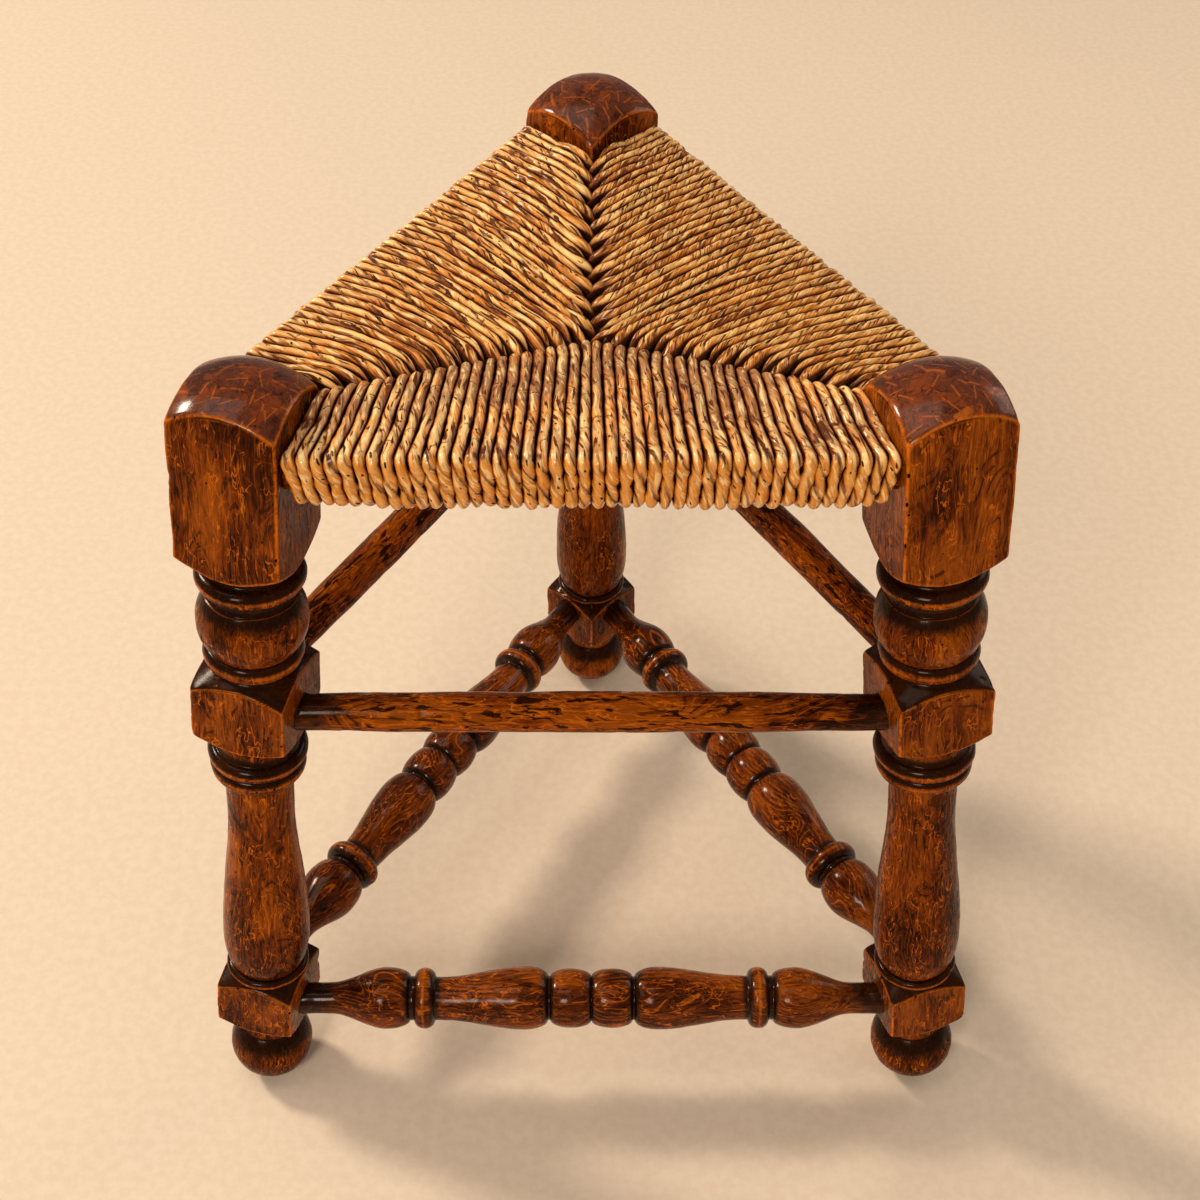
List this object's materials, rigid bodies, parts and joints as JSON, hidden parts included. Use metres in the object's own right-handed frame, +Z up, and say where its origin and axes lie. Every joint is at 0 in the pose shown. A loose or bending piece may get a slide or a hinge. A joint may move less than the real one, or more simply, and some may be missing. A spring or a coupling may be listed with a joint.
{
  "type": "fireside stool",
  "caption": "Triangular fireside stool with turned oak legs, plain and turned stretchers and a woven rush seat.",
  "frame": {"origin": "on the floor, under the middle of the stool's bounding box", "axes": "+Z up; the front side, with one stretcher of each kind along it, faces -Y; +X is to the right seen from the front; the single back leg stands at +Y"},
  "size_m": [0.3988, 0.3562, 0.4541],
  "materials": {
    "leg_oak": "dark stained and waxed oak, worn lighter on its edges",
    "rail_oak": "plain oak, unpolished under the rush",
    "plain_stretcher_oak": "dark stained and waxed oak",
    "turned_stretcher_oak": "dark stained and waxed oak, glossy on the swellings",
    "rush": "golden twisted rush cord, slightly glossy where it folds",
    "stuffing": "dry loose rush, matt"
  },
  "bodies": {
    "root": {"left_leg": "leg_oak", "right_leg": "leg_oak", "back_leg": "leg_oak", "front_rail": "rail_oak", "right_rail": "rail_oak", "left_rail": "rail_oak", "front_plain_stretcher": "plain_stretcher_oak", "right_plain_stretcher": "plain_stretcher_oak", "left_plain_stretcher": "plain_stretcher_oak", "front_turned_stretcher": "turned_stretcher_oak", "right_turned_stretcher": "turned_stretcher_oak", "left_turned_stretcher": "turned_stretcher_oak", "front_rush": "rush", "right_rush": "rush", "left_rush": "rush", "front_stuffing": "stuffing", "right_stuffing": "stuffing", "left_stuffing": "stuffing"}
  },
  "joints": []
}
